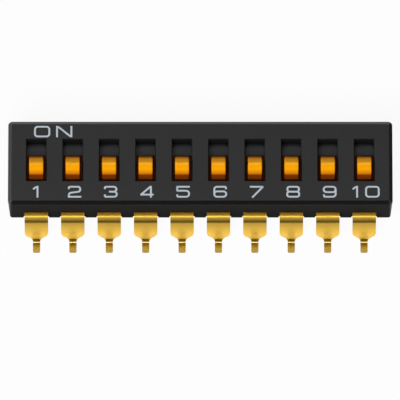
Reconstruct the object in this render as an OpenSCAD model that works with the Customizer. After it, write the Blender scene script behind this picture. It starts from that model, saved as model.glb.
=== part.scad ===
// Surface-mount DIP switch with raised slide actuators and gull-wing leads.
// Frame: X runs along the row of positions, with position 1 at the -X end; -Y is the numbered side
// (sliders rest there, circuit open) and +Y the ON side; Z is up from the solder plane under the feet.

/* [Row] */
// Number of switch positions
positions = 10; // [2:1:12]
// Distance between neighbouring positions
pitch = 2.54; // [2.4:0.01:3.2]
// Cover length beyond one pitch for each position
end_margin = 1.4; // [1:0.05:3]

/* [Cover] */
// Width of the cover across its top edges
cover_w = 6.5; // [6.3:0.01:8.5]
// Height of the cover from its lower rim to its top face
cover_h = 2.36; // [2.2:0.01:3]
// Height of the cover's lower rim above the solder plane
rim_z = 1.89; // [1.5:0.01:2.4]
// Thickness of the top plate
roof_t = 0.55; // [0.4:0.01:0.7]
// Thickness of the long walls at the top
side_wall = 0.6; // [0.45:0.01:0.7]
// Thickness of the end walls at the top
end_wall = 0.65; // [0.45:0.01:0.9]
// How far each wall leans in by the time it reaches the lower rim
wall_lean = 0.13; // [0:0.01:0.2]
// Radius of the upright corners where the walls are widest
corner_r = 0.3; // [0.26:0.01:0.6]
// Width of the bevel round the top face, seen from above
bevel_run = 0.24; // [0.05:0.01:0.25]
// Height of the bevel round the top face
bevel_drop = 0.12; // [0.05:0.01:0.3]

/* [Windows] */
// Width of each slider window
window_w = 1.36; // [1.1:0.01:1.6]
// Length of each slider window
window_l = 3.25; // [3:0.01:3.6]
// How far the windows sit from the middle of the cover towards the ON side
window_shift = 0.19; // [0:0.01:0.3]
// Broken edge round the mouth of each window
window_edge = 0.05; // [0.01:0.01:0.08]

/* [Sliders] */
// Travel of a slider from OFF to ON
travel = 1.19; // [0.8:0.01:1.45]
// Width of the knob
knob_w = 1; // [0.6:0.01:1.05]
// Length of the knob
knob_l = 1.42; // [1.2:0.01:1.5]
// Height of the knob's two ends above the cover
knob_end_rise = 0.3; // [0.1:0.01:0.6]
// Height of the knob's narrow flat ridge above the cover
knob_ridge_rise = 0.68; // [0.6:0.01:0.9]
// Radius of the two arcs that make the knob's pointed top
knob_arc_r = 1.3; // [1.15:0.01:2]
// How far each arc's centre lies past the middle of the knob
knob_arc_shift = 0.235; // [0.1:0.005:0.3]
// Edge radius along the knob's arched top and down its corners
knob_edge_r = 0.09; // [0.04:0.01:0.12]
// Width of the skirt that runs under the cover
skirt_w = 1.76; // [1.5:0.01:1.8]
// Length of the skirt
skirt_l = 2.48; // [2.2:0.01:2.6]
// Thickness of the skirt
skirt_t = 0.3; // [0.2:0.01:0.35]
// How far the detent nubs stand out of the skirt's sides
nub_proud = 0.04; // [0.02:0.01:0.04]
// Radius of the detent nubs
nub_r = 0.12; // [0.08:0.01:0.16]

/* [Contacts] */
// Thickness of the moving contact's spring strip
contact_t = 0.08; // [0.05:0.01:0.1]
// Width of the plate that joins the two wiper arms
plate_w = 1.1; // [1.05:0.01:1.3]
// Length of the flat of that plate
plate_l = 0.7; // [0.6:0.01:0.8]
// How far the contact sits from the slider's middle, towards the numbered side
contact_shift = 0.62; // [0.45:0.01:0.68]
// Width of one wiper arm
arm_w = 0.3; // [0.2:0.01:0.34]
// Distance of each wiper arm from the middle of the contact
arm_x = 0.36; // [0.34:0.01:0.4]
// Inner radius of the fold between the plate and the arms
fold_r = 0.09; // [0.06:0.01:0.1]
// Slope of the arms down to their wiping tips, in degrees
arm_slope = 24; // [20:1:30]
// Inner radius of the curled wiping tip
tip_r = 0.1; // [0.06:0.01:0.12]
// How far the tip curls up past its lowest point, in degrees
tip_curl = 50; // [20:5:70]

/* [Terminals] */
// Thickness of the terminal sheet
lead_t = 0.25; // [0.2:0.01:0.27]
// Width of the upper part of a lead
lead_w = 1.63; // [1.3:0.01:1.75]
// Height of a lead's top face above the solder plane, where it leaves the body
lead_exit_z = 2.71; // [2.6:0.01:2.75]
// Straight run of the lead between the cover and its shoulder bend
shoulder_l = 0.18; // [0.1:0.01:0.4]
// Inner radius of the shoulder bend
shoulder_r = 0.2; // [0.1:0.01:0.3]
// Outward lean of the leg from upright, in degrees
lead_lean = 9; // [4:1:14]
// Inner radius of the bend above the foot
ankle_r = 0.18; // [0.1:0.01:0.3]
// Width of the foot
foot_w = 0.5; // [0.4:0.01:0.8]
// Straight length of the foot
foot_l = 0.64; // [0.4:0.01:1]
// Corner radius at the tip of the foot
foot_tip_r = 0.1; // [0.02:0.01:0.18]
// Radius where the wide part of the leg turns into the taper
taper_top_r = 0.54; // [0.35:0.01:0.62]
// Radius where the taper turns into the foot's width
taper_foot_r = 0.58; // [0.35:0.01:0.7]
// Straight length of the taper's edge between those two curves
taper_flat = 0.05; // [0.02:0.01:0.2]
// How far the taper runs down into the bend above the foot
taper_drop = 0.19; // [0:0.01:0.2]
// Width of the tongue inside the base
tongue_w = 0.56; // [0.5:0.01:0.6]
// Radius of the anchor hole that the base's plastic fills
anchor_r = 0.25; // [0.15:0.01:0.3]

/* [Base] */
// Height of the base's underside above the solder plane
base_z = 0.3; // [0.15:0.01:0.5]
// Width of the base below the cover
plinth_w = 4.4; // [4:0.01:4.8]
// How far each end of the base stands back from the cover's end, below the cover
plinth_setback = 0.85; // [0.7:0.01:1.5]
// Height of the four stand-off pads under the base
pad_h = 0.1; // [0.05:0.01:0.14]
// Radius of the stand-off pads
pad_r = 0.6; // [0.4:0.01:0.8]
// Radius of the holes under the terminals, where pins held them during moulding
pinch_r = 0.24; // [0.15:0.01:0.26]
// Width of each snap catch on the ends of the base
catch_w = 1.2; // [0.8:0.01:1.6]
// How far each snap catch stands out
catch_proud = 0.12; // [0.06:0.01:0.16]

/* [Clearances] */
// Gap between a slider's skirt and the sides and ends of its channel
slide_gap = 0.05; // [0.04:0.01:0.08]
// Gap between a slider's skirt and the top plate
lift_gap = 0.05; // [0.02:0.01:0.08]
// Gap between a slider's skirt and the deck that it rides on
ride_gap = 0.02; // [0.01:0.01:0.04]
// Gap between the base and the inside of the cover
fit_gap = 0.03; // [0.01:0.01:0.06]
// Gap between a lead and its notch in the cover
notch_gap = 0.07; // [0.03:0.01:0.1]
// Gap between a wiping tip and the tongue below it
wipe_gap = 0.02; // [0.01:0.01:0.04]
// Gap between a wiper arm and the sides and ends of its groove
groove_gap = 0.06; // [0.04:0.01:0.08]

/* [Hidden] */
$fn = 96;
numbers = [for (i = [1:positions]) i];

// heights above the solder plane
top_z = rim_z + cover_h;
roof_z = top_z - roof_t;
skirt_top_z = roof_z - lift_gap;
skirt_z = skirt_top_z - skirt_t;
deck_z = skirt_z - ride_gap;
tongue_z = lead_exit_z - lead_t;

// cover
cover_l = positions * pitch + end_margin;
corner_x = cover_l / 2 - corner_r;
corner_y = cover_w / 2 - corner_r;
bevel_h = cover_h - bevel_drop;
cavity_l = cover_l - 2 * end_wall;
cavity_w = cover_w - 2 * side_wall;
notch_w = lead_w + 2 * notch_gap;
notch_top_z = lead_exit_z + notch_gap;

// sliders and their channels; a slider rests at the OFF end
rest_y = window_shift - travel / 2;
channel_w = skirt_w + 2 * slide_gap;
channel_l = skirt_l + travel + 2 * slide_gap;
arc_end_drop = sqrt(pow(knob_arc_r, 2) - pow(knob_l / 2 + knob_arc_shift, 2));
knob_arc_z = top_z + knob_end_rise - arc_end_drop;

// moving contacts, from the middle of their plate: the arms fold back under it
contact_z = skirt_z;
fold_y = plate_l / 2;
fold_z = contact_z - fold_r;
tip_z = lead_exit_z + wipe_gap;
tip_centre_z = tip_z + contact_t + tip_r;
arm_drop = fold_z - tip_centre_z + (tip_r - fold_r) * cos(arm_slope);
arm_l = arm_drop / sin(arm_slope);
tip_back = arm_l * cos(arm_slope) - fold_y + (tip_r - fold_r) * sin(arm_slope);
groove_w = arm_w + 2 * groove_gap;
contact_back = tip_back + (tip_r + contact_t) * sin(tip_curl);
contact_front = fold_y + fold_r + contact_t;
contact_y = rest_y - contact_shift;
tip_on_y = contact_y + travel - tip_back;
groove_near_y = contact_y - contact_back - groove_gap;
groove_far_y = contact_y + travel + contact_front + groove_gap;

// terminals, with y measured outward from the middle of the body
lean_per_z = wall_lean / bevel_h;
exit_y = cover_w / 2 - lean_per_z * (rim_z + bevel_h - lead_exit_z);
shoulder_y = exit_y + shoulder_l;
shoulder_z = tongue_z - shoulder_r;
bend_angle = 90 - lead_lean;
shoulder_out = shoulder_r + lead_t;
leg_top_y = shoulder_y + shoulder_out * cos(lead_lean);
leg_top_z = shoulder_z + shoulder_out * sin(lead_lean);
ankle_z = lead_t + ankle_r;
leg_foot_z = ankle_z - ankle_r * sin(lead_lean);
leg_l = (leg_top_z - leg_foot_z) / cos(lead_lean);
leg_foot_y = leg_top_y + leg_l * sin(lead_lean);
ankle_y = leg_foot_y + ankle_r * cos(lead_lean);
foot_tip_y = ankle_y + foot_l;
taper_turn_r = taper_top_r + taper_foot_r;
taper_in = (lead_w - foot_w) / 2;
taper_run = norm([taper_turn_r, taper_flat]);
taper_angle = acos((taper_turn_r - taper_in) / taper_run) - atan(taper_flat / taper_turn_r);
bend_lap = 0.05;
wide_inset = 0.6;
wide_end_y = cavity_w / 2 - wide_inset;
anchor_margin = 0.1;
near_tongue_reach = 0.22;
far_tongue_reach = 0.34;
near_tongue_y = tip_on_y + near_tongue_reach;
far_tongue_y = tip_on_y - far_tongue_reach;

// base
base_l = cavity_l - 2 * fit_gap;
base_w = cavity_w - 2 * fit_gap;
plinth_l = cover_l - 2 * plinth_setback;
step_rise = 0.02;
step_z = rim_z + step_rise;
tab_inset = 0.05;
tab_y = cover_w / 2 - wall_lean - tab_inset;
catch_h = 0.3;
catch_root = 0.2;
catch_depth = 0.9;
catch_z = roof_z - catch_depth;
catch_inset = 1.4;
catch_y = base_w / 2 - catch_inset;
pinch_inset = 0.3;
pinch_y = plinth_w / 2 - pinch_r - pinch_inset;
pad_inset = 0.1;
pad_x = plinth_l / 2 - 2 * pad_r;
pad_y = plinth_w / 2 - pad_r - pad_inset;

function slot_x(i) = (i - (positions + 1) / 2) * pitch;

// A rectangle about the origin with four round corners.
module rounded_rect(size, r) {
    square([size[0], size[1] - 2 * r], center = true);
    square([size[0] - 2 * r, size[1]], center = true);
    for (x = [-1, 1], y = [-1, 1])
        translate([x * (size[0] / 2 - r), y * (size[1] / 2 - r)]) circle(r);
}

// A profile drawn in the YZ plane, extruded along X and centred on it.
module along_x(w) {
    rotate([90, 0, 90]) linear_extrude(w, center = true) children();
}

// ---------- cover ----------

// The wall's section from the rim to the top face, as distance out from the corner's centre and height.
cover_section = [
    [corner_r - wall_lean, 0],
    [corner_r, bevel_h],
    [corner_r - bevel_run, cover_h]
];

module cover_slab(reach) {
    polygon(concat(
        [for (p = cover_section) [reach + p[0], p[1]]],
        [for (i = [len(cover_section) - 1:-1:0]) [-reach - cover_section[i][0], cover_section[i][1]]]
    ));
}

module cover_body() {
    rotate([90, 0, 0]) linear_extrude(2 * corner_y, center = true) cover_slab(corner_x);
    along_x(2 * corner_x) cover_slab(corner_y);
    for (x = [-1, 1], y = [-1, 1])
        translate([x * corner_x, y * corner_y])
            rotate_extrude() polygon(concat([[0, 0]], cover_section, [[0, cover_h]]));
}

// A trapezium that widens by window_edge on each side towards its top.
module flare_section(w) {
    polygon([
        [-w / 2, -window_edge],
        [w / 2, -window_edge],
        [w / 2 + 2 * window_edge, window_edge],
        [-w / 2 - 2 * window_edge, window_edge]
    ]);
}

module window() {
    translate([0, 0, -roof_t / 2]) cube([window_w, window_l, 2 * roof_t], center = true);
    intersection() {
        rotate([90, 0, 0]) linear_extrude(2 * window_l, center = true) flare_section(window_w);
        along_x(2 * window_w) flare_section(window_l);
    }
}

module snap_catch(grow) {
    h = catch_h + 2 * grow;
    translate([0, 0, catch_z]) rotate([90, 0, 0]) linear_extrude(catch_w + 2 * grow, center = true)
        polygon([
            [-catch_root, -h / 2],
            [catch_proud + grow, -h / 2],
            [grow, h / 2],
            [-catch_root, h / 2]
        ]);
}

module snap_catches(grow) {
    for (x = [-1, 1], y = [-1, 1])
        translate([x * base_l / 2, y * catch_y]) mirror([x < 0 ? 1 : 0, 0, 0]) snap_catch(grow);
}

module cover() {
    color([0.16, 0.16, 0.165])
    difference() {
        translate([0, 0, rim_z]) cover_body();
        translate([0, 0, rim_z]) cube([cavity_l, cavity_w, 2 * (cover_h - roof_t)], center = true);
        for (i = numbers) {
            translate([slot_x(i), window_shift, top_z]) window();
            translate([slot_x(i) - notch_w / 2, -cover_w, 0]) cube([notch_w, 2 * cover_w, notch_top_z]);
        }
        snap_catches(fit_gap);
    }
}

// ---------- terminals ----------

// Part of a flat ring about the origin, from the X axis round to the angle: one bend of a strip.
// It runs a hair past both ends, so that it always joins the straight strips there.
module ring_sector(r_in, t, angle) {
    reach = 2 * (r_in + t);
    intersection() {
        difference() {
            circle(r_in + t);
            circle(r_in);
        }
        polygon([
            [0, 0],
            reach * [cos(bend_lap), -sin(bend_lap)],
            reach * [cos(angle / 2), sin(angle / 2)],
            reach * [cos(angle + bend_lap), sin(angle + bend_lap)]
        ]);
    }
}

// A bend and the straight strip that follows it, about the bend's centre.
module bend_and_strip(r_in, t, angle, length) {
    ring_sector(r_in, t, angle);
    rotate(angle) translate([r_in, 0]) square([t, length]);
}

// Side view of the bent sheet, with the outward direction along X and height along Y.
// The leg is drawn upright from the origin down, with a bend at each end, then leaned outward.
module lead_profile(tongue_y) {
    translate([leg_top_y, leg_top_z]) rotate(lead_lean) translate([-lead_t, 0]) {
        translate([0, -leg_l]) square([lead_t, leg_l]);
        translate([-shoulder_r, 0])
            bend_and_strip(shoulder_r, lead_t, bend_angle, shoulder_y - tongue_y);
        translate([lead_t + ankle_r, -leg_l]) rotate(180)
            bend_and_strip(ankle_r, lead_t, bend_angle, foot_l);
    }
}

// Front view of the leg, with the lower end of its taper at the origin. The taper's edge is an S:
// a curve in from the wide part, a short straight, and a curve out again to the foot's width.
module leg_outline() {
    foot_curve = taper_foot_r * [1 - cos(taper_angle), sin(taper_angle)];
    straight = taper_flat * [sin(taper_angle), cos(taper_angle)];
    wide_y = taper_turn_r * sin(taper_angle) + straight[1];
    half = [
        [foot_w / 2, -2 * ankle_z],
        [foot_w / 2, 0],
        [foot_w / 2, 0] + foot_curve,
        [foot_w / 2, 0] + foot_curve + straight,
        [lead_w / 2, wide_y],
        [lead_w / 2, leg_l + 2 * shoulder_out]
    ];
    difference() {
        union() {
            polygon(concat(half, [for (i = [len(half) - 1:-1:0]) [-half[i][0], half[i][1]]]));
            for (x = [-1, 1])
                translate([x * (lead_w / 2 - taper_top_r), wide_y]) circle(taper_top_r);
        }
        for (x = [-1, 1])
            translate([x * (foot_w / 2 + taper_foot_r), 0]) circle(taper_foot_r);
    }
}

// Plan view of the flat part, from the shoulder bend to the tip of the tongue, with its anchor hole.
module flat_outline(tongue_y) {
    difference() {
        union() {
            translate([-lead_w / 2, wide_end_y]) square([lead_w, shoulder_y - wide_end_y]);
            translate([-arm_x - tongue_w / 2, tongue_y]) square([tongue_w, shoulder_y - tongue_y]);
        }
        translate([0, wide_end_y + anchor_r + anchor_margin]) circle(anchor_r);
    }
}

// One terminal with its feet on the solder plane, drawn outward along +Y.
module terminal(tongue_y) {
    color([0.83, 0.66, 0.27])
    intersection() {
        along_x(2 * lead_w) lead_profile(tongue_y);
        union() {
            linear_extrude(top_z) flat_outline(tongue_y);
            translate([0, leg_foot_y, leg_foot_z]) rotate([lead_lean, 0, 0]) rotate([90, 0, 0])
                translate([0, -taper_drop, -ankle_r])
                    linear_extrude(ankle_r + leg_foot_y - shoulder_y) leg_outline();
            translate([0, foot_tip_y - foot_l])
                linear_extrude(ankle_z) rounded_rect([foot_w, 2 * foot_l], foot_tip_r);
        }
    }
}

module terminal_near(i) {
    translate([slot_x(i), 0]) rotate(180) terminal(-near_tongue_y);
}

module terminal_far(i) {
    translate([slot_x(i), 0]) terminal(far_tongue_y);
}

// ---------- base ----------

module tongue_bed(i) {
    translate([slot_x(i), 0, tongue_z]) linear_extrude(lead_t) {
        flat_outline(far_tongue_y);
        rotate(180) flat_outline(-near_tongue_y);
    }
}

module detent_notches() {
    for (x = [-1, 1], y = [0, travel])
        translate([x * (channel_w / 2 - nub_r + nub_proud), rest_y + y, deck_z])
            cylinder(r = nub_r, h = 2 * skirt_t);
}

module channel() {
    translate([-channel_w / 2, window_shift - channel_l / 2, deck_z]) cube([channel_w, channel_l, roof_z]);
    for (x = [-1, 1])
        translate([x * arm_x - groove_w / 2, groove_near_y, lead_exit_z])
            cube([groove_w, groove_far_y - groove_near_y, roof_z]);
    detent_notches();
}

module pinch_holes() {
    for (y = [-1, 1])
        translate([-y * arm_x, y * pinch_y, 0]) cylinder(r = pinch_r, h = tongue_z);
}

module base() {
    color([0.13, 0.13, 0.135])
    difference() {
        union() {
            translate([-base_l / 2, -base_w / 2, step_z]) cube([base_l, base_w, roof_z - step_z]);
            translate([0, 0, base_z])
                linear_extrude(roof_z - base_z) rounded_rect([plinth_l, plinth_w], corner_r);
            for (x = [-1, 1], y = [-1, 1])
                translate([x * pad_x, y * pad_y, base_z - pad_h]) cylinder(r = pad_r, h = 2 * pad_h);
            for (i = numbers)
                translate([slot_x(i) - lead_w / 2, -tab_y, step_z])
                    cube([lead_w, 2 * tab_y, tongue_z - step_z]);
            snap_catches(0);
        }
        for (i = numbers) {
            translate([slot_x(i), 0]) channel();
            translate([slot_x(i), 0]) pinch_holes();
            tongue_bed(i);
        }
    }
}

// ---------- sliders ----------

// Disc with a rounded rim, standing on edge across the knob: one side of the pointed top.
module knob_wheel() {
    rotate([0, 90, 0]) rotate_extrude() {
        translate([0, -knob_w / 2]) square([knob_arc_r - knob_edge_r, knob_w]);
        translate([0, knob_edge_r - knob_w / 2]) square([knob_arc_r, knob_w - 2 * knob_edge_r]);
        for (y = [-1, 1])
            translate([knob_arc_r - knob_edge_r, y * (knob_w / 2 - knob_edge_r)]) circle(knob_edge_r);
    }
}

module knob() {
    intersection() {
        translate([0, 0, skirt_top_z - skirt_t / 2])
            linear_extrude(top_z + knob_ridge_rise - skirt_top_z + skirt_t / 2)
                rounded_rect([knob_w, knob_l], knob_edge_r);
        translate([0, knob_arc_shift, knob_arc_z]) knob_wheel();
        translate([0, -knob_arc_shift, knob_arc_z]) knob_wheel();
    }
}

module slider(i) {
    color([0.95, 0.58, 0.05])
    translate([slot_x(i), rest_y]) difference() {
        union() {
            knob();
            translate([0, 0, skirt_z])
                linear_extrude(skirt_t) rounded_rect([skirt_w, skirt_l], 2 * knob_edge_r);
            for (x = [-1, 1])
                translate([x * (skirt_w / 2 - nub_r + nub_proud), 0, skirt_z])
                    cylinder(r = nub_r, h = skirt_t);
        }
        translate([-plate_w / 2, -contact_shift - fold_y, skirt_z - skirt_t])
            cube([plate_w, fold_y + contact_front, skirt_t + contact_t]);
    }
}

// ---------- moving contacts ----------

// Places a drawing made about the fold's centre, in which the arms run straight down.
module at_fold() {
    translate([fold_y, fold_z]) rotate(arm_slope - 90) children();
}

module plate_profile() {
    at_fold() rotate(180 - arm_slope) translate([fold_r, 0]) square([contact_t, plate_l]);
}

// Side view of one arm: plate, fold at the ON end, arm sloping back and a curled tip.
module arm_profile() {
    at_fold() {
        bend_and_strip(fold_r, contact_t, 180 - arm_slope, plate_l);
        translate([fold_r, -arm_l]) square([contact_t, arm_l]);
        translate([fold_r - tip_r, -arm_l]) mirror([0, 1])
            ring_sector(tip_r, contact_t, arm_slope + tip_curl);
    }
}

module contact(i) {
    color([0.8, 0.68, 0.4])
    translate([slot_x(i), contact_y]) {
        along_x(plate_w) plate_profile();
        for (x = [-1, 1]) translate([x * arm_x, 0]) along_x(arm_w) arm_profile();
    }
}

cover();
base();
for (i = numbers) {
    slider(i);
    contact(i);
    terminal_near(i);
    terminal_far(i);
}
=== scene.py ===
"""Looks of a ten-position surface-mount DIP switch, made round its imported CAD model."""

import math

import bmesh
import bpy
from mathutils import Matrix, Vector

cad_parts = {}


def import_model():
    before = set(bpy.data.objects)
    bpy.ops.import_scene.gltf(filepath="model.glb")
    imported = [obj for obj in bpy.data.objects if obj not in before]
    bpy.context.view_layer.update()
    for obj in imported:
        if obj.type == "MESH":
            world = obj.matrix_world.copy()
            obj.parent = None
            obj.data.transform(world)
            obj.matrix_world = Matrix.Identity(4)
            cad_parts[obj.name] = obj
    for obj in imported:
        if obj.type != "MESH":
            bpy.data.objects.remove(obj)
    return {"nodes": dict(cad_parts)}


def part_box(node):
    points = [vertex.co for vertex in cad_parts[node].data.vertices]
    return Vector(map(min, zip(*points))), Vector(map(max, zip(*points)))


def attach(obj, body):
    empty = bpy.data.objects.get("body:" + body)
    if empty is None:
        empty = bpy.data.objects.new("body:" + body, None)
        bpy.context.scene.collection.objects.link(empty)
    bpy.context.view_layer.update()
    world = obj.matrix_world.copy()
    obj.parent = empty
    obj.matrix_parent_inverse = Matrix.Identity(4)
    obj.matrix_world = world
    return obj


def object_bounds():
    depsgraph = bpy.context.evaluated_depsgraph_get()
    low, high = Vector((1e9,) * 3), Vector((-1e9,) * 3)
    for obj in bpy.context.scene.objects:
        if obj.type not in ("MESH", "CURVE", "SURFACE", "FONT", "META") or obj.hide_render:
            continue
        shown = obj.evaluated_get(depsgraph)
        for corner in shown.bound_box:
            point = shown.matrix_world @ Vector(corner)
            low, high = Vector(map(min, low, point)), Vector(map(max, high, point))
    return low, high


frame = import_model()
cad_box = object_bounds()

MM = 0.001
POSITIONS = range(1, 11)
HOUSING = "housing"             # the body that carries the cover, the base and the terminals


# ---------- measures taken from the frame ----------

def middle(box):
    return (box[0] + box[1]) / 2


CENTRE = middle(cad_box)
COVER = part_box("cover")
TOP_Z = COVER[1].z
RIDGE_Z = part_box("slider_1")[1].z
SLOT_X = {i: middle(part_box(f"slider_{i}")).x for i in POSITIONS}


# ---------- small helpers ----------

def placed(name, data):
    """A new object in the scene."""
    thing = bpy.data.objects.new(name, data)
    bpy.context.scene.collection.objects.link(thing)
    return thing


def mesh_from(bm, name):
    """A mesh with that name from a bmesh, which is freed."""
    mesh = bpy.data.meshes.new(name)
    bm.to_mesh(mesh)
    bm.free()
    return mesh


def empty_material(name):
    """A material with nothing in its node tree."""
    material = bpy.data.materials.new(name)
    material.use_nodes = True
    material.node_tree.nodes.clear()
    return material


def rgba(colour):
    """A colour with its alpha; a single number is a grey."""
    red, green, blue = colour if isinstance(colour, tuple) else (colour, colour, colour)
    return red, green, blue, 1


class Nodes:
    """A node tree, with short calls for the nodes that the materials and the world share."""

    def __init__(self, tree):
        self.tree = tree

    def fill(self, socket, source):
        """Fills a socket from another node's output, or with a fixed value."""
        if isinstance(source, bpy.types.NodeSocket):
            self.tree.links.new(source, socket)
        else:
            socket.default_value = rgba(source) if socket.type == "RGBA" else source

    def add(self, kind, *sources, **settings):
        """A node with its settings, and its first inputs filled in their order."""
        node = self.tree.nodes.new(kind)
        for key, value in settings.items():
            setattr(node, key, value)
        for socket, source in zip(node.inputs, sources):
            self.fill(socket, source)
        return node

    def calc(self, operation, *values):
        """The result of an operation on outputs and numbers."""
        return self.add("ShaderNodeMath", *values, operation=operation).outputs["Value"]

    def axes(self, vector):
        """A vector's X, Y and Z."""
        return self.add("ShaderNodeSeparateXYZ", vector).outputs

    def spread(self, value, start, end, low=0.0, high=1.0):
        """A value that goes from start to end, spread from low to high and held there beyond."""
        return self.add("ShaderNodeMapRange", value, start, end, low, high).outputs["Result"]

    def ramp(self, value, stops):
        """Colours or greys along a value from 0 to 1."""
        node = self.add("ShaderNodeValToRGB", value)
        elements = node.color_ramp.elements
        elements.remove(elements[-1])
        for k, (at, colour) in enumerate(stops):
            element = elements.new(at) if k else elements[0]
            element.position = at
            element.color = rgba(colour)
        return node.outputs["Color"]

    def ramp_over(self, value, reach, stops):
        """Greys along a value from 0 to its reach, with the stops given in the value's own unit."""
        shares = [(at / reach, grey) for at, grey in stops.items()]
        return self.ramp(self.calc("DIVIDE", value, reach), shares)

    def mixed(self, factor, first, second):
        """Two colours mixed by a factor."""
        node = self.add("ShaderNodeMix", data_type="RGBA")
        for name, source in (("Factor", factor), ("A", first), ("B", second)):
            self.fill(node.inputs[name], source)
        return node.outputs["Result"]

    def sees_background(self):
        """1 for rays that see the background itself or its mirror or see-through image."""
        path = self.add("ShaderNodeLightPath").outputs
        direct = self.calc("MAXIMUM", path["Is Camera Ray"], path["Is Glossy Ray"])
        return self.calc("MAXIMUM", direct, path["Is Transmission Ray"])


class Finish(Nodes):
    """A material of the object, with the patterns and masks that the finishes share."""

    def __init__(self, name, **constants):
        """The constants are for the shader's own sockets, with underscores for spaces."""
        self.material = empty_material(name)
        super().__init__(self.material.node_tree)
        self.surface = self.add("ShaderNodeBsdfPrincipled")
        for key, value in constants.items():
            self.surface.inputs[key.replace("_", " ")].default_value = value
        self.add("ShaderNodeOutputMaterial", self.surface.outputs["BSDF"])
        self.coordinates = self.add("ShaderNodeTexCoord").outputs

    def noise(self, size, detail=3.0, length=None):
        """Noise whose features are about that size, or of another length along X, in metres."""
        mapping = self.add("ShaderNodeMapping", self.coordinates["Object"])
        mapping.inputs["Scale"].default_value = (1 / (length or size), 1 / size, 1 / size)
        node = self.add("ShaderNodeTexNoise", mapping.outputs["Vector"])
        node.inputs["Scale"].default_value = 1.0
        node.inputs["Detail"].default_value = detail
        return node.outputs["Fac"]

    def scaled(self, value, low, high):
        """A value from 0 to 1, spread from low to high."""
        return self.spread(value, 0.0, 1.0, low, high)

    def product(self, first, second):
        return self.calc("MULTIPLY", first, second)

    def facing(self, axis):
        """How far the surface faces along an axis of its piece, whichever way."""
        return self.calc("ABSOLUTE", self.axes(self.coordinates["Normal"])[axis])

    def height(self, start, end):
        """0 at one height in the piece's own frame and 1 at the other."""
        return self.spread(self.axes(self.coordinates["Object"])["Z"], start, end)

    def openness(self, reach):
        """1 in the open and towards 0 deep in a gap, judged over that distance."""
        node = self.add("ShaderNodeAmbientOcclusion", samples=8)
        node.inputs["Distance"].default_value = reach
        return node.outputs["AO"]

    def bump(self, height, depth):
        """Bumps of that depth, in metres."""
        node = self.add("ShaderNodeBump")
        node.inputs["Distance"].default_value = depth
        self.fill(node.inputs["Height"], height)
        return node.outputs["Normal"]

    def finished(self, colour, roughness, normal):
        """The material, with what varies over it linked to the shader."""
        for name, source in (("Base Color", colour), ("Roughness", roughness), ("Normal", normal)):
            self.fill(self.surface.inputs[name], source)
        return self.material


# ---------- finishes ----------

# heights over which a look changes, each as where the change begins and where it is full, in metres
SKIRT_SHADE = (TOP_Z - 0.60 * MM, TOP_Z - 0.50 * MM)      # painted shade, lighter up from the top of a slider's skirt
KNOB_END_SHADE = (TOP_Z + 0.28 * MM, TOP_Z + 0.54 * MM)          # up from a knob's low ends, browned with painted shade, to its crown
RIDGE_HIGHLIGHT = (RIDGE_Z - 0.04 * MM, RIDGE_Z - 0.01 * MM)      # up to a knob's ridge, where a painted highlight is full
SHOULDER = (2.20 * MM, 2.40 * MM)                       # up to a lead's shoulder
SHIN_TOP = (1.30 * MM, 0.85 * MM)                       # down into a lead's shin
SHIN_END = (0.42 * MM, 0.54 * MM)                       # up into the shin from the foot's bend
LOW = (0.80 * MM, 0.50 * MM)                            # down to a lead's ankle and foot, with painted shade and a painted highlight


def cover_plastic():
    """Black moulded plastic with an even, fine grain: satin on the top and the end walls, smoother on the
    bevels and dull on the long walls."""
    look = Finish("cover_plastic", IOR=1.5)
    clouds = look.noise(2.2 * MM, detail=4)
    grain = look.noise(0.07 * MM, detail=2)
    dark = (0.0036, 0.0038, 0.0040)
    pale = (0.0056, 0.0058, 0.0058)
    colour = look.mixed(look.scaled(clouds, 0.2, 0.8), dark, pale)
    up = look.facing("Z")
    walls = look.ramp(look.facing("Y"), [(0.85, 0.35), (0.98, 0.78)])
    top = look.ramp(up, [(0.95, 0.18), (0.99, 0.33)])
    smooth = look.mixed(look.ramp(up, [(0.20, 0.0), (0.45, 1.0)]), walls, top)
    roughness = look.product(smooth, look.scaled(grain, 0.85, 1.15))
    return look.finished(colour, roughness, look.bump(grain, 0.0012 * MM))


def base_plastic():
    """Black glass-filled plastic with a dull, slightly cloudy face, and painted shade that makes it nearly
    black deep in its gaps.
    """
    look = Finish("base_plastic", IOR=1.5)
    clouds = look.noise(0.9 * MM, detail=4)
    grain = look.noise(0.05 * MM)
    dark = (0.014, 0.015, 0.0165)
    pale = (0.023, 0.024, 0.026)
    # painted shade: this near-black is mixed in where the piece is less open, deep in its gaps
    gap = (0.001, 0.001, 0.001)
    openness_shade = look.ramp(look.openness(0.5 * MM), [(0.35, 0.0), (0.70, 1.0)])
    colour = look.mixed(openness_shade, gap, look.mixed(clouds, dark, pale))
    return look.finished(colour, look.scaled(grain, 0.50, 0.68), look.bump(grain, 0.0025 * MM))


def slider_plastic():
    """Orange moulded plastic, bright where it stands open. Painted shade makes it a deep red brown in its
    gaps and down on its skirt, and browner at the knob's two ends; a painted highlight makes it palest along
    its ridge."""
    look = Finish("slider_plastic", IOR=1.48, Specular_IOR_Level=0.08)
    clouds = look.noise(1.1 * MM)
    grain = look.noise(0.05 * MM, detail=2)
    orange = look.mixed(clouds, (0.97, 0.375, 0.0004), (0.99, 0.40, 0.0008))
    # painted highlight: paler orange along the knob's ridge
    with_ridge_highlight = look.mixed(look.height(*RIDGE_HIGHLIGHT), orange, (1.0, 0.46, 0.02))
    # painted shade: browner at the knob's low ends, full colour at its crown
    knob = look.mixed(look.height(*KNOB_END_SHADE), (0.50, 0.120, 0.0), with_ridge_highlight)
    # painted shade: deep red brown down on the skirt and in the gaps, where the slider is less open
    gap_shade = look.mixed(look.height(*SKIRT_SHADE), (0.05, 0.007, 0.0), (0.25, 0.046, 0.002))
    openness_shade = look.ramp(look.openness(1.2 * MM), [(0.62, 0.0), (0.97, 1.0)])
    colour = look.mixed(openness_shade, gap_shade, knob)
    return look.finished(colour, look.scaled(grain, 0.20, 0.30), look.bump(grain, 0.0008 * MM))


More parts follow.
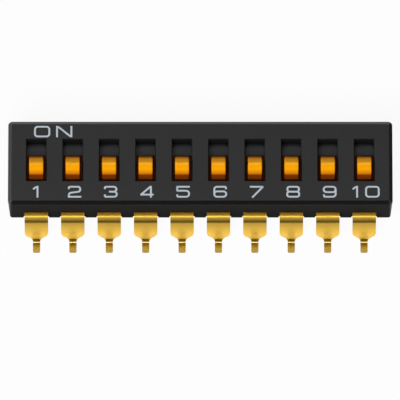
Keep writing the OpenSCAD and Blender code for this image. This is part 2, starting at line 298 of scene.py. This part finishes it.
def plated_metal(name, pale, deep, rough):
    """Gold plating over rolled sheet: fine lines along X, soft clouds and duller sheared edges. Low on a
    lead, painted shade darkens the steep ankle and the flat foot where they are less open, and a painted
    highlight makes the bend into the foot pale. The shin above the bend reflects less like metal, and the
    shoulder's flat top is rougher."""
    look = Finish(name, Metallic=1.0)
    lines = look.noise(MM / 11, length=MM / 0.42)
    clouds = look.noise(0.6 * MM)
    up = look.facing("Z")
    openness_shade = look.openness(0.7 * MM)
    low = look.height(*LOW)

    streaks = look.product(look.scaled(lines, 0.25, 0.75), look.scaled(clouds, 0.6, 1.4))
    plating = look.mixed(streaks, pale, deep)
    sheared = look.ramp(look.facing("X"), [(0.80, 0.0), (0.97, 1.0)])
    colour = look.mixed(sheared, plating, (0.50, 0.42, 0.26))
    # painted shade: the steep ankle darkens where it is less open
    ankle = look.mixed(look.ramp(openness_shade, [(0.78, 0.0), (0.93, 1.0)]), (0.38, 0.22, 0.03), colour)
    # painted shade: the flat foot darkens where it is less open, next to the leg
    painted_foot_shade = [(0.80, (0.12, 0.080, 0.008)), (0.92, (0.27, 0.18, 0.028)), (1.0, (0.50, 0.355, 0.06))]
    foot = look.ramp(openness_shade, painted_foot_shade)
    # painted highlight: the pale bend into the foot
    bend_highlight = (1.0, 0.82, 0.42)
    low_shade_and_highlight = (
        (ankle, [(0.3, 1.0), (0.8, 0.0)]),
        (foot, [(0.985, 0.0), (0.999, 1.0)]),
        (bend_highlight, [(0.88, 0.0), (0.94, 0.7), (0.98, 0.7), (0.995, 0.0)]),
    )
    for shade, by_slope in low_shade_and_highlight:
        colour = look.mixed(look.product(low, look.ramp(up, by_slope)), colour, shade)

    flat_top = look.product(look.height(*SHOULDER), look.ramp(up, [(0.985, 0.0), (0.9995, 1.0)]))
    roughness = look.mixed(flat_top, look.scaled(lines, rough - 0.05, rough + 0.08), 0.62)
    shin = look.product(look.height(*SHIN_TOP), look.height(*SHIN_END))
    satin = look.product(shin, look.ramp(up, [(0.17, 1.0), (0.27, 0.0)]))
    look.fill(look.surface.inputs["Metallic"], look.scaled(satin, 1.0, 0.35))
    return look.finished(colour, roughness, look.bump(lines, 0.0016 * MM))


def ink():
    """Pale grey-blue printing ink, slightly uneven."""
    look = Finish("ink", IOR=1.45)
    grain = look.noise(0.06 * MM)
    colour = look.mixed(grain, (0.50, 0.57, 0.64), (0.62, 0.69, 0.76))
    return look.finished(colour, look.scaled(grain, 0.45, 0.65), look.bump(grain, 0.002 * MM))


COVER_PLASTIC = cover_plastic()
BASE_PLASTIC = base_plastic()
SLIDER_PLASTIC = slider_plastic()
TERMINAL_METAL = plated_metal("terminal_metal", (0.97, 0.61, 0.092), (0.93, 0.56, 0.068), 0.32)
CONTACT_METAL = plated_metal("contact_metal", (0.93, 0.66, 0.27), (0.86, 0.58, 0.20), 0.24)
INK = ink()


def finish_node(name, material):
    """Gives a CAD node its material."""
    node = frame["nodes"][name]
    node.data.materials.clear()
    node.data.materials.append(material)


finish_node("cover", COVER_PLASTIC)
finish_node("base", BASE_PLASTIC)
for i in POSITIONS:
    finish_node(f"slider_{i}", SLIDER_PLASTIC)
    finish_node(f"contact_{i}", CONTACT_METAL)
    finish_node(f"terminal_near_{i}", TERMINAL_METAL)
    finish_node(f"terminal_far_{i}", TERMINAL_METAL)


# ---------- printed marks, in mm ----------

STROKE = 0.13                   # width of a printed line
BEND = 0.20                     # radius of a round corner, to the middle of the line
BEND_STEPS = 6
ROOM = 0.48                     # share of the shorter side beside a corner that its arc may take
MITRE = 0.3                     # least cosine that a mitre is worked out with, so that it stays short
APART = 0.006                   # keeps a stroke's sides off another's, since sides that coincide merge badly

DIGIT_SIZE = (0.96, 0.915)      # width and height
LETTER_SIZE = (1.13, 0.89)
ONE_WIDTH = 0.44                # a 1 is narrower than the other digits
INK_ABOVE = 0.006               # how far the ink stands on the cover
INK_BELOW = 0.010               # how far it reaches into the cover, so that no gap shows

DIGITS_LOW = -2.78              # lower edge of the numbers
DIGIT_OFFSET = 0.12             # how far a number's middle lies past its slider's middle
SHIFTS = {1: 0.09, 10: -0.51}   # moves the two numbers that are narrower or wider than the others
TEN_GAP = 0.48                  # between the two digits of 10
WORD_LOW = 1.965                # lower edge of the word
WORD_LEFT = -11.60              # left edge of the word
WORD_GAP = 0.41                 # between its two letters


def fillet(before, corner, after, radius):
    """Points of the arc that rounds one corner of a line, tighter where the corner has too little room."""
    back = (before - corner).normalized()
    ahead = (after - corner).normalized()
    half = back.angle(ahead) / 2
    room = ROOM * min((before - corner).length, (after - corner).length)
    reach = min(radius / math.tan(half), room)
    fitted = reach * math.tan(half)
    centre = corner + (back + ahead).normalized() * (fitted / math.sin(half))
    start = corner + back * reach - centre
    turn = math.pi - 2 * half
    if back.x * ahead.y - back.y * ahead.x > 0:
        turn = -turn
    return [centre + Matrix.Rotation(turn * k / BEND_STEPS, 2) @ start for k in range(BEND_STEPS + 1)]


def rounded(points, radius, closed):
    """A line through the points with its corners rounded, as dense points."""
    count = len(points)
    line = []
    for k, point in enumerate(points):
        if closed or 0 < k < count - 1:
            line += fillet(points[k - 1], point, points[(k + 1) % count], radius)
        else:
            line.append(point)
    return line


def sides_of(line, closed):
    """The two sides of a line of STROKE width, as a pair of points for each of its points."""
    count = len(line)
    sides = []
    for k, point in enumerate(line):
        back = point - line[k - 1] if closed or k > 0 else line[1] - line[0]
        ahead = line[(k + 1) % count] - point if closed or k < count - 1 else line[-1] - line[-2]
        back.normalize()
        ahead.normalize()
        across = (back + ahead).orthogonal().normalized()
        width = STROKE / 2 / max(across.dot(back.orthogonal()), MITRE)
        sides.append((point + across * width, point - across * width))
    return sides


def stroke(*corners, radius=BEND, closed=False):
    """A line of STROKE width through the corners, as a flat closed solid that is 1 thick."""
    line = [Vector(corner) for corner in corners]
    if radius:
        line = rounded(line, radius, closed)
    bm = bmesh.new()
    rings = []
    for left, right in sides_of(line, closed):
        ring = ((left, 0), (right, 0), (right, 1), (left, 1))
        rings.append([bm.verts.new((*side, z)) for side, z in ring])
    following = rings[1:] + rings[:1] if closed else rings[1:]
    for this, that in zip(rings, following):
        for k in range(4):
            bm.faces.new((this[k], this[(k + 1) % 4], that[(k + 1) % 4], that[k]))
    if not closed:
        bm.faces.new(rings[0])
        bm.faces.new(rings[-1])
    bmesh.ops.recalc_face_normals(bm, faces=bm.faces)
    return mesh_from(bm, "stroke")


def bar(start, end):
    return stroke(start, end, radius=0)


def loop(left, right, low, high, radius=BEND):
    """A closed stroke round a box."""
    return stroke((left, low), (right, low), (right, high), (left, high), radius=radius, closed=True)


def glyph(shape, width, height):
    """The strokes of one character in a box whose lower left corner is the origin."""
    edge = STROKE / 2           # how far inside the box the middle of an outermost line lies
    left, right, low, high = edge, width - edge, edge, height - edge
    centre = (low + high) / 2
    hook = 0.20 * height        # how far the open end of a 2, 3, 5, 6 or 9 turns up or down
    if shape == "0":
        return [loop(left, right + 0.055, low, high)]
    if shape == "O":
        return [loop(left, right, low, high)]
    if shape == "1":
        stem = 0.36
        return [
            bar((stem, 0), (stem, height)),
            stroke((stem - 0.30, high - 0.20), (stem - 0.12, high - 0.03), (stem + edge, high)),
        ]
    if shape == "2":
        start, turn = left + 0.03, right - 0.015
        return [
            stroke((start, high - hook), (start, high), (turn, high), (turn, centre + 0.02),
                   (start + APART, centre - 0.10), (start + APART, low), radius=0.15),
            bar((start - edge, low), (width, low)),
        ]
    if shape == "3":
        turn, waist = right - 0.03, centre + APART
        return [
            stroke((left, high - hook), (left, high), (turn, high), (turn, waist), (0.36 * width, waist)),
            stroke((0.5 * width, centre), (right, centre), (right, low), (left, low), (left, low + hook)),
        ]
    if shape == "4":
        stem, arm = 0.76 * width, low + 0.17
        return [
            bar((stem, 0), (stem, height)),
            bar((stem - edge / 3, high + edge / 3), (left, arm + 0.02)),
            bar((0, arm), (width - 0.04, arm)),
        ]
    if shape == "5":
        start, turn, waist = left - 0.04, right - 0.05, centre + 0.08
        return [
            stroke((right, high), (start, high), (start, waist), (0.5 * width, waist), radius=0.02),
            stroke((0.3 * width, waist), (turn, waist), (turn, low), (start, low), (start, low + hook)),
        ]
    if shape == "6":
        end = right - 0.02
        return [
            loop(left, right, low, centre + 0.03),
            stroke((left, centre - 0.10), (left, high), (end, high), (end, high - hook)),
        ]
    if shape == "7":
        return [stroke((0, high), (right + 0.02, high), (0.17 * width, 0), radius=0.02)]
    if shape == "8":
        inset = 0.015
        return [
            loop(left, right, low, centre, radius=0.16),
            loop(left + inset, right - inset, centre + APART, high, radius=0.16),
        ]
    if shape == "9":
        end = left + 0.02
        return [
            loop(left, right, centre - 0.03, high),
            stroke((right, centre + 0.10), (right, low), (end, low), (end, low + hook)),
        ]
    if shape == "N":
        return [
            bar((left, 0), (left, height)),
            bar((right, 0), (right, height)),
            bar((left + 0.08, high), (right - 0.06, low)),
        ]
    raise ValueError(shape)


def merged(meshes):
    """One closed mesh from solids that cross."""
    whole = placed("merged", meshes[0])
    for extra in meshes[1:]:
        other = placed("extra", extra)
        union = whole.modifiers.new("union", "BOOLEAN")
        union.operation = "UNION"
        union.solver = "EXACT"
        union.object = other
        depsgraph = bpy.context.evaluated_depsgraph_get()
        result = bpy.data.meshes.new_from_object(whole.evaluated_get(depsgraph))
        whole.modifiers.remove(union)
        whole.data = result
        bpy.data.objects.remove(other)
    mesh = whole.data
    bpy.data.objects.remove(whole)
    return mesh


def mark(name, characters, size, x, y, gap):
    """Characters in a row on the cover's top, printed from x onward, with their lower edge at y."""
    bm = bmesh.new()
    for shape in characters:
        width, height = size
        if shape == "1":
            width = ONE_WIDTH
        mesh = merged(glyph(shape, width, height))
        mesh.transform(Matrix.Translation((x, y, 0)))
        bm.from_mesh(mesh)
        bpy.data.meshes.remove(mesh)
        x += width + gap
    mesh = mesh_from(bm, name)
    lowest = Matrix.Translation((0, 0, TOP_Z - INK_BELOW * MM))
    thickness = INK_ABOVE + INK_BELOW
    mesh.transform(lowest @ Matrix.Diagonal((MM, MM, thickness * MM, 1)))
    mesh.materials.append(INK)
    piece = placed(name, mesh)
    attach(piece, HOUSING)


def print_marks():
    for i in POSITIONS:
        start = SLOT_X[i] / MM + DIGIT_OFFSET - DIGIT_SIZE[0] / 2 + SHIFTS.get(i, 0)
        mark(f"number_{i}", str(i), DIGIT_SIZE, start, DIGITS_LOW, TEN_GAP)
    mark("word_on", "ON", LETTER_SIZE, WORD_LEFT, WORD_LOW, WORD_GAP)


print_marks()


# ---------- studio, in metres ----------

VIEW_ELEVATION = math.radians(62.5)
TO_CAMERA = Vector((0, -math.cos(VIEW_ELEVATION), math.sin(VIEW_ELEVATION)))
VIEW_WIDTH = 27.90 * MM         # what the frame spans at the object
AIM = CENTRE + Vector((-0.02, -2.04, 0)) * MM           # what the camera looks at
LENS = 1500                     # a very long lens, since the view has almost no perspective, mm
SENSOR = 36

WHITE = 1.0
SKY = 0.06                      # even light on the object from all round
FLOOR_SIZE = 3.0
FLOOR_PAPER = 0.92
FLOOR_FILL = 0.94               # how much of the floor's white is its own; the rest takes shadow

# brightness painted on the floor that gloss sees, with painted shadow close in, by the distance in mm from
# the cover's outline
PAINTED_GLOSS_FLOOR = {
    0: 0.03, 0.65: 0.10, 1.1: 0.30, 1.4: 0.85, 1.8: 1.25,
    2.3: 1.15, 2.8: 0.55, 3.5: 0.25, 9: 0.08,
}
GLOSS_REACH = 10                # where the ramp between them ends

# brightness of the dome that gloss sees, by degrees from the front horizon over the top to the back horizon
DOME = {
    0: 0.08, 14: 0.16, 30: 0.28, 42: 0.38, 52: 0.48, 68: 0.66, 84: 0.95,
    88: 2.8, 106: 2.8, 111: 0.20, 130: 0.22, 150: 0.6, 165: 1.4,
}
DOME_RADIUS = 0.30
DOME_SIDE = 0.7                 # share by which its left is brighter, and its right darker
FLANK = 0.45                    # brightness at its left and right, where the band overhead doesn't reach
FLANK_SPAN = (0.55, 0.85)       # where the flanks begin and where they are full, as shares of the radius
PANEL = 0.6                     # what a pale panel adds on the left, above the horizon
PANEL_SPAN = (-0.50, -0.66)     # where the panel begins and is full along X, as shares of the radius
PANEL_RISE = (0.28, 0.42)       # and upwards
LENS_SHADE = (8, 11)            # half angles of a dark spot towards the camera and of its soft edge, degrees
LENS_DARK = 0.03                # share of the brightness that is left in the spot


def camera():
    data = bpy.data.cameras.new("camera")
    data.sensor_width = SENSOR
    data.lens = LENS
    distance = LENS / SENSOR * VIEW_WIDTH
    data.clip_start = distance / 2
    data.clip_end = distance * 10
    cam = placed("camera", data)
    cam.location = AIM + TO_CAMERA * distance
    cam.rotation_euler = (math.pi / 2 - VIEW_ELEVATION, 0, 0)
    bpy.context.scene.camera = cam


def world():
    """White where it is seen, and an even, low light where it only lights."""
    studio = bpy.data.worlds.new("studio")
    studio.use_nodes = True
    nodes = Nodes(studio.node_tree)
    background = studio.node_tree.nodes["Background"].inputs
    nodes.fill(background["Color"], WHITE)
    nodes.fill(background["Strength"], nodes.calc("MULTIPLY_ADD", nodes.sees_background(), WHITE - SKY, SKY))
    bpy.context.scene.world = studio


def from_cover(nodes):
    """Distance in mm from the outline of the cover, which lies round the origin."""
    place = nodes.axes(nodes.add("ShaderNodeTexCoord").outputs["Object"])
    gaps = []
    for axis, half in (("X", COVER[1].x), ("Y", COVER[1].y)):
        gaps.append(nodes.calc("SUBTRACT", nodes.calc("ABSOLUTE", place[axis]), half))
    return nodes.calc("DIVIDE", nodes.calc("MAXIMUM", *gaps), MM)


def floor():
    """A pale floor that shows white and still takes the object's shadow. Gloss sees a painted image of it
    that darkens with painted shadow close to the cover, and again further out, as on a table in a light
    tent."""
    material = empty_material("floor")
    nodes = Nodes(material.node_tree)
    paper = nodes.add("ShaderNodeBsdfDiffuse", FLOOR_PAPER).outputs["BSDF"]
    white = nodes.add("ShaderNodeEmission", WHITE).outputs["Emission"]
    share = nodes.calc("MULTIPLY", nodes.sees_background(), FLOOR_FILL)
    plain = nodes.add("ShaderNodeMixShader", share, paper, white).outputs["Shader"]
    # painted reflection: the floor image that gloss sees, with painted shadow close to the cover
    glow = nodes.ramp_over(from_cover(nodes), GLOSS_REACH, PAINTED_GLOSS_FLOOR)
    painted_gloss_image = nodes.add("ShaderNodeEmission", glow).outputs["Emission"]
    gloss_ray = nodes.add("ShaderNodeLightPath").outputs["Is Glossy Ray"]
    both = nodes.add("ShaderNodeMixShader", gloss_ray, plain, painted_gloss_image).outputs["Shader"]
    nodes.add("ShaderNodeOutputMaterial", both)

    half = FLOOR_SIZE / 2
    corners = [(-half, -half, 0), (half, -half, 0), (half, half, 0), (-half, half, 0)]
    mesh = bpy.data.meshes.new("floor")
    mesh.from_pydata(corners, [], [(0, 1, 2, 3)])
    mesh.materials.append(material)
    ground = placed("floor", mesh)
    ground.location.z = cad_box[0].z


def dome_light(nodes):
    """The dome's brightness: its band from front to back, even flanks, a pale panel on the left, and a dark
    spot towards the camera."""
    place = nodes.add("ShaderNodeTexCoord").outputs["Object"]
    unit = nodes.add("ShaderNodeVectorMath", place, operation="NORMALIZE").outputs["Vector"]
    x, y, z = nodes.axes(unit)
    angle = nodes.calc("DEGREES", nodes.calc("ARCTAN2", z, nodes.calc("MULTIPLY", y, -1.0)))
    band = nodes.ramp_over(angle, 180, DOME)
    inward = nodes.spread(nodes.calc("ABSOLUTE", x), *FLANK_SPAN, 1.0, 0.0)
    glow = nodes.calc("MULTIPLY_ADD", nodes.calc("SUBTRACT", band, FLANK), inward, FLANK)
    panel = nodes.spread(x, *PANEL_SPAN, 0.0, PANEL)
    glow = nodes.calc("MULTIPLY_ADD", panel, nodes.spread(z, *PANEL_RISE), glow)
    side = nodes.calc("MULTIPLY_ADD", x, -DOME_SIDE, 1.0)
    towards = nodes.add("ShaderNodeVectorMath", unit, TO_CAMERA, operation="DOT_PRODUCT").outputs["Value"]
    inner, outer = (math.cos(math.radians(half)) for half in LENS_SHADE)
    shade = nodes.spread(towards, outer, inner, 1.0, LENS_DARK)
    return nodes.add("ShaderNodeEmission", glow, nodes.calc("MULTIPLY", side, shade)).outputs["Emission"]


def dome():
    """The studio's surroundings as gloss shows them: dark at the front horizon, brightest overhead and pale
    at the back horizon, with the left brighter than the right."""
    material = empty_material("dome")
    nodes = Nodes(material.node_tree)
    nodes.add("ShaderNodeOutputMaterial", dome_light(nodes))
    bm = bmesh.new()
    bmesh.ops.create_uvsphere(bm, u_segments=64, v_segments=48, radius=DOME_RADIUS)
    below = [face for face in bm.faces if face.calc_center_median().z < 0]
    bmesh.ops.delete(bm, geom=below, context="FACES")
    mesh = mesh_from(bm, "dome")
    mesh.materials.append(material)
    sky = placed("dome", mesh)
    for way in ("camera", "diffuse", "shadow", "transmission", "volume_scatter"):
        setattr(sky, f"visible_{way}", False)


def softbox(name, azimuth, elevation, distance, size, power):
    """A square light that faces the object. Azimuth 0 is on the camera's side, positive to the right."""
    data = bpy.data.lights.new(name, "AREA")
    data.shape = "SQUARE"
    data.size = size
    data.energy = power
    turn, rise = math.radians(azimuth), math.radians(elevation)
    out = Vector((math.sin(turn) * math.cos(rise), -math.cos(turn) * math.cos(rise), math.sin(rise)))
    light = placed(name, data)
    light.location = CENTRE + out * distance
    light.rotation_euler = out.to_track_quat("Z", "Y").to_euler()
    light.visible_glossy = False


camera()
world()
floor()
dome()
softbox("key", azimuth=-14, elevation=47, distance=0.40, size=0.16, power=1.55)

bpy.context.scene.view_settings.view_transform = "Standard"
